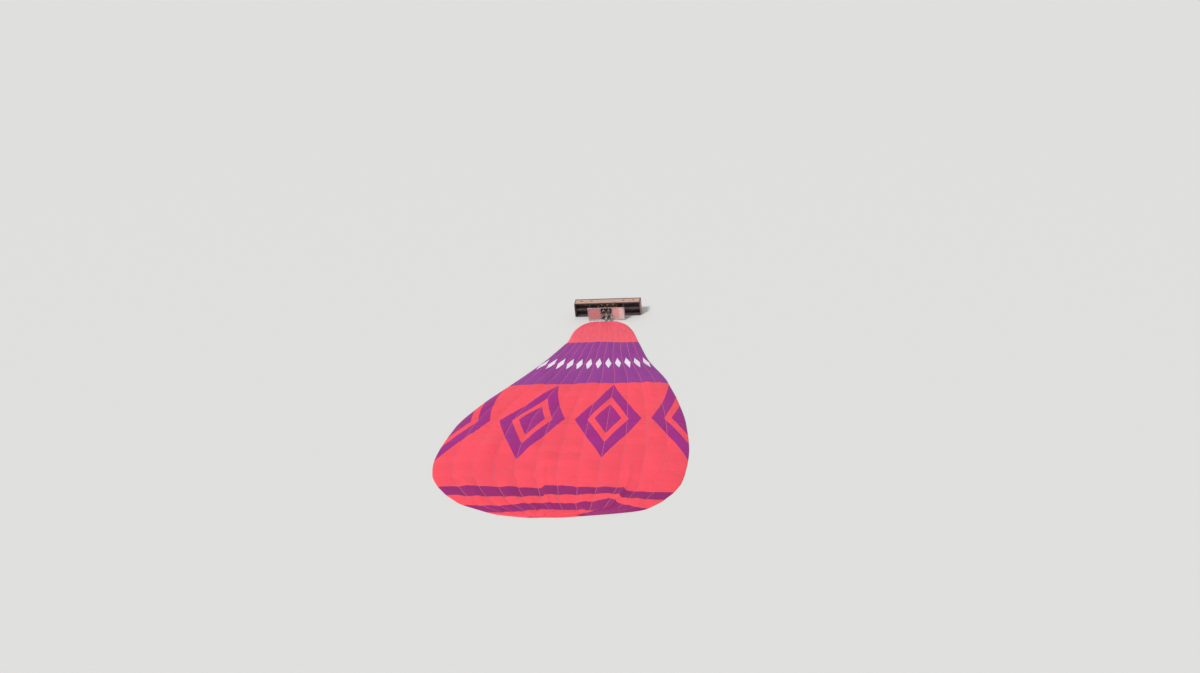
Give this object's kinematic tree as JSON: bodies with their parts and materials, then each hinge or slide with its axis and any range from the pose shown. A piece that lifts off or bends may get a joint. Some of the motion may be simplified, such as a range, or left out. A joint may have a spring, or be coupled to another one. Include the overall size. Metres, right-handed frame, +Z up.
{
  "type": "hot air balloon laid out for filling",
  "caption": "Large hot air balloon laid out on the ground: basket on its side, burners in their frame, coral and purple cloth spread flat in front.",
  "frame": {"origin": "on the ground, at the middle of the whole laid-out balloon's bounding box", "axes": "+Y from the crown toward the basket, +Z up, +X along the basket's length, to the right seen from the crown"},
  "size_m": [22.8, 38.03, 1.55],
  "materials": {
    "coral_cloth": "light coated nylon, coral red",
    "purple_cloth": "light coated nylon, purple",
    "salmon_cloth": "flame-proof cloth, salmon",
    "cream_cloth": "flame-proof cloth, cream",
    "wicker": "woven willow cane, pale pinkish tan",
    "runner_wood": "oiled hardwood",
    "floor_plywood": "varnished plywood",
    "rim_hide": "dark plum suede over foam",
    "pole_cover": "dark plum suede, zipped round the pole",
    "cylinder_steel": "brushed stainless steel",
    "frame_steel": "satin stainless tube",
    "burner_dark": "dark blue-grey, satin",
    "burner_steel": "stainless steel, heat-tinted",
    "stay_wire": "stainless wire rope"
  },
  "bodies": {
    "root": {"upper_mouth": "coral_cloth", "upper_purple_band": "purple_cloth", "upper_body_front": "coral_cloth", "upper_body_rear": "coral_cloth", "upper_crown_stripe_wide": "purple_cloth", "upper_crown_panel": "coral_cloth", "upper_crown_stripe_narrow": "purple_cloth", "upper_crown_edge": "coral_cloth", "lower_mouth": "coral_cloth", "lower_purple_band": "purple_cloth", "lower_body_front": "coral_cloth", "lower_body_rear": "coral_cloth", "lower_crown": "coral_cloth", "basket_rim": "rim_hide", "basket_floor": "floor_plywood", "basket_wall_low": "wicker", "basket_wall_high": "wicker", "basket_end_left": "wicker", "basket_end_right": "wicker", "partition_left": "wicker", "partition_right": "wicker", "divider_left": "wicker", "divider_right": "wicker", "runner_low": "runner_wood", "runner_middle": "runner_wood", "runner_high": "runner_wood", "gas_cylinder_low_left": "cylinder_steel", "gas_cylinder_low_middle": "cylinder_steel", "gas_cylinder_low_right": "cylinder_steel", "gas_cylinder_high_left": "cylinder_steel", "gas_cylinder_high_middle": "cylinder_steel", "gas_cylinder_high_right": "cylinder_steel", "load_frame": "frame_steel", "heat_shield_left": "salmon_cloth", "heat_shield_right": "salmon_cloth", "heat_shield_right_outer": "cream_cloth", "pole_low_left": "pole_cover", "pole_low_right": "pole_cover", "pole_high_left": "pole_cover", "pole_high_right": "pole_cover", "stay_left": "stay_wire", "stay_right": "stay_wire"},
    "burners_left": {"burner_bar_left": "burner_dark", "burner_can_low_left": "burner_steel", "burner_can_high_left": "burner_steel"},
    "burners_right": {"burner_bar_right": "burner_dark", "burner_can_low_right": "burner_steel", "burner_can_high_right": "burner_steel"}
  },
  "joints": [
    {"name": "burners_left_tilt", "type": "hinge", "parent": "root", "child": "burners_left", "pos_m": [0.73, 16.935, 0.775], "axis": [0, 0, 1], "range_deg": [-12, 12]},
    {"name": "burners_right_tilt", "type": "hinge", "parent": "root", "child": "burners_right", "pos_m": [1.27, 16.935, 0.775], "axis": [0, 0, 1], "range_deg": [-12, 12]}
  ]
}
